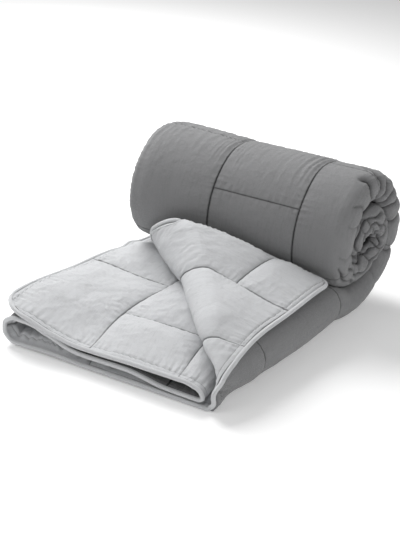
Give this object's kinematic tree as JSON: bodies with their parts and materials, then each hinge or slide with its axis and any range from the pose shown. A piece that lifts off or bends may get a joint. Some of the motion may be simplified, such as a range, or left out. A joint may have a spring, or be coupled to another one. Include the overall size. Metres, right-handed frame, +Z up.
{
  "type": "quilted duvet",
  "caption": "Quilted duvet, dark on one face and light on the other, folded lengthways and rolled up from one end, with its other end flat and a corner turned back.",
  "frame": {"origin": "middle of the underside, on the surface that the duvet lies on", "axes": "+X to the right along the roll, +Y from the flat end towards the roll, +Z up"},
  "size_m": [0.618, 0.6992, 0.3262],
  "materials": {
    "dark_cotton": "woven, matt, softly creased",
    "light_cotton": "woven, matt, softly creased"
  },
  "bodies": {
    "root": {"quilt": "dark_cotton", "piping": "light_cotton"}
  },
  "joints": []
}
